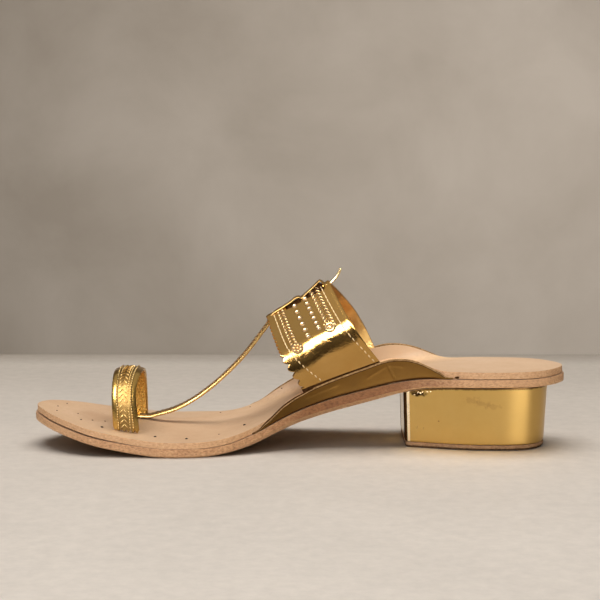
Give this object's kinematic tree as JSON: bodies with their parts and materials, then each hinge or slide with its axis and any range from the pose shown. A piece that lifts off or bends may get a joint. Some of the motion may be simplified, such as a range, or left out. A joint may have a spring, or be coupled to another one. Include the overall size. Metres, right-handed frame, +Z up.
{
  "type": "block heel sandal",
  "caption": "Backless right-foot sandal on a low block heel: tan leather insole and outsole, gilt instep band with pinked edge, woven thong and toe ring.",
  "frame": {"origin": "on the floor under the middle of the sandal's bounding box", "axes": "+X from toe to heel, +Y from the medial to the lateral side of the foot, +Z up from the floor"},
  "size_m": [0.2496, 0.08, 0.0822],
  "materials": {
    "outsole_leather": "raw cut edge, natural tan",
    "insole_leather": "smooth natural tan, matt",
    "heel_foil": "gold foil, satin mirror",
    "strap_foil": "gold foil, wrinkled and bright"
  },
  "bodies": {
    "root": {"outsole": "outsole_leather", "insole": "insole_leather", "heel_block": "heel_foil", "heel_top_piece": "outsole_leather", "ear_medial": "strap_foil", "ear_lateral": "strap_foil", "upper": "strap_foil"}
  },
  "joints": []
}
